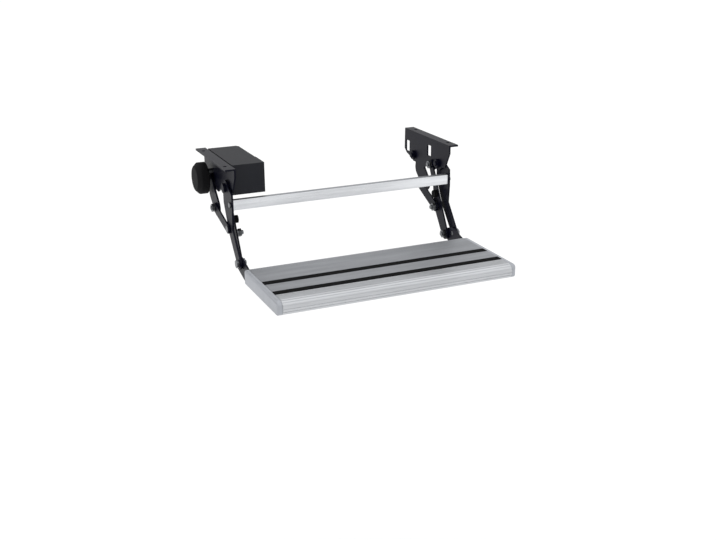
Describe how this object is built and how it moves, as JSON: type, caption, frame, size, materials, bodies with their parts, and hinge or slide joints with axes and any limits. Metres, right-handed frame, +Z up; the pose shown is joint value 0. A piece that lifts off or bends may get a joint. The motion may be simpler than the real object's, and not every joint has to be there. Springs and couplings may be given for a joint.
{
  "type": "caravan pull out step",
  "caption": "Electric swing-out entrance step for a caravan: a wide ribbed tread on paired folding arms, hung from two side brackets with a motor box.",
  "frame": {"origin": "centre of the four floor bolts, on the top plane of the flanges", "axes": "+X to the right seen from the entrance, +Y to the back under the floor, +Z up"},
  "size_m": [0.5935, 0.529, 0.244],
  "materials": {
    "black_coat": "powder coated, satin",
    "black_plastic": "moulded, matt",
    "alloy": "anodised, satin",
    "cap_grey": "moulded, satin",
    "rubber": "matt",
    "zinc": "zinc plated"
  },
  "bodies": {
    "base": {"bracket_left": "black_coat", "bracket_right": "black_coat", "front_pivot_bolt_left": "black_coat", "front_pivot_bolt_right": "black_coat", "front_pivot_nut_left": "black_coat", "front_pivot_nut_right": "black_coat", "rear_pivot_pin_left": "zinc", "rear_pivot_pin_right": "zinc", "rear_pivot_nut_left": "zinc", "rear_pivot_nut_right": "zinc", "crank_pivot_bolt_right": "black_coat", "crank_pivot_nut_right": "black_coat", "motor_cover": "black_plastic", "motor_lid": "black_plastic", "gear_motor": "zinc", "drive_tube": "zinc", "gear_housing": "zinc", "gear_cover": "black_plastic", "cable_gland": "rubber"},
    "front_frame": {"front_arm_left": "black_coat", "front_arm_right": "black_coat", "crossbar_plug_left": "zinc", "crossbar_plug_right": "zinc", "crossbar_screw_left": "zinc", "crossbar_screw_right": "zinc", "crossbar": "alloy", "rod_boss_left": "zinc"},
    "tread": {"tread_board": "alloy", "strip_front": "rubber", "strip_rear": "rubber", "end_cap_left": "cap_grey", "end_cap_right": "cap_grey", "tread_bracket_left": "black_coat", "tread_bracket_right": "black_coat", "tread_bolt_left": "zinc", "tread_bolt_right": "zinc", "tread_pin_left": "zinc", "tread_pin_right": "zinc", "tread_nut_left": "zinc", "tread_nut_right": "zinc"},
    "rear_arm_left": {"rear_arm_left": "black_coat", "buffer_left": "rubber", "arm_stud": "zinc", "arm_stud_nut": "zinc"},
    "crank_left": {"crank_left": "black_coat", "crank_pin_left": "zinc", "crank_pin_nut_left": "zinc", "output_shaft": "zinc"},
    "rod_left": {"rod_left": "black_coat", "rod_stud_left": "zinc"},
    "rear_arm_right": {"rear_arm_right": "black_coat", "buffer_right": "rubber", "rod_boss_right": "zinc"},
    "crank_right": {"crank_right": "black_coat", "crank_pin_right": "zinc", "crank_pin_nut_right": "zinc"},
    "rod_right": {"rod_right": "black_coat", "rod_stud_right": "zinc", "rod_nut_right": "zinc"}
  },
  "joints": [
    {"name": "step_fold", "type": "hinge", "parent": "base", "child": "front_frame", "pos_m": [0, -0.063, -0.054], "axis": [1, 0, 0], "range_deg": [0, 85]},
    {"name": "tread_level", "type": "hinge", "parent": "front_frame", "child": "tread", "pos_m": [0, -0.14, -0.209], "axis": [1, 0, 0], "range_deg": [-85.01, 0.01]},
    {"name": "rear_arm_swing_left", "type": "hinge", "parent": "base", "child": "rear_arm_left", "pos_m": [0, -0.035, -0.062], "axis": [1, 0, 0], "range_deg": [-0.01, 85.01]},
    {"name": "crank_turn_left", "type": "hinge", "parent": "base", "child": "crank_left", "pos_m": [0, 0.066, -0.059], "axis": [1, 0, 0], "range_deg": [-0.01, 79.4]},
    {"name": "rod_turn_left", "type": "hinge", "parent": "crank_left", "child": "rod_left", "pos_m": [0, 0.015, -0.119], "axis": [1, 0, 0], "range_deg": [-119.5, 0.01]},
    {"name": "rear_arm_swing_right", "type": "hinge", "parent": "base", "child": "rear_arm_right", "pos_m": [0, -0.035, -0.062], "axis": [1, 0, 0], "range_deg": [-0.01, 85.01]},
    {"name": "crank_turn_right", "type": "hinge", "parent": "base", "child": "crank_right", "pos_m": [0, 0.066, -0.059], "axis": [1, 0, 0], "range_deg": [-0.01, 125.73]},
    {"name": "rod_turn_right", "type": "hinge", "parent": "crank_right", "child": "rod_right", "pos_m": [0, 0.015, -0.119], "axis": [1, 0, 0], "range_deg": [-124.45, 0.01]}
  ],
  "couplings": [
    {"joint": "tread_level", "follows": "step_fold", "ratio": -1},
    {"joint": "rear_arm_swing_left", "follows": "step_fold", "ratio": 1},
    {"joint": "crank_turn_left", "follows": "step_fold", "ratio": 0.93401},
    {"joint": "rod_turn_left", "follows": "step_fold", "ratio": -1.4058},
    {"joint": "rear_arm_swing_right", "follows": "step_fold", "ratio": 1},
    {"joint": "crank_turn_right", "follows": "step_fold", "ratio": 1.4791},
    {"joint": "rod_turn_right", "follows": "step_fold", "ratio": -1.464}
  ]
}
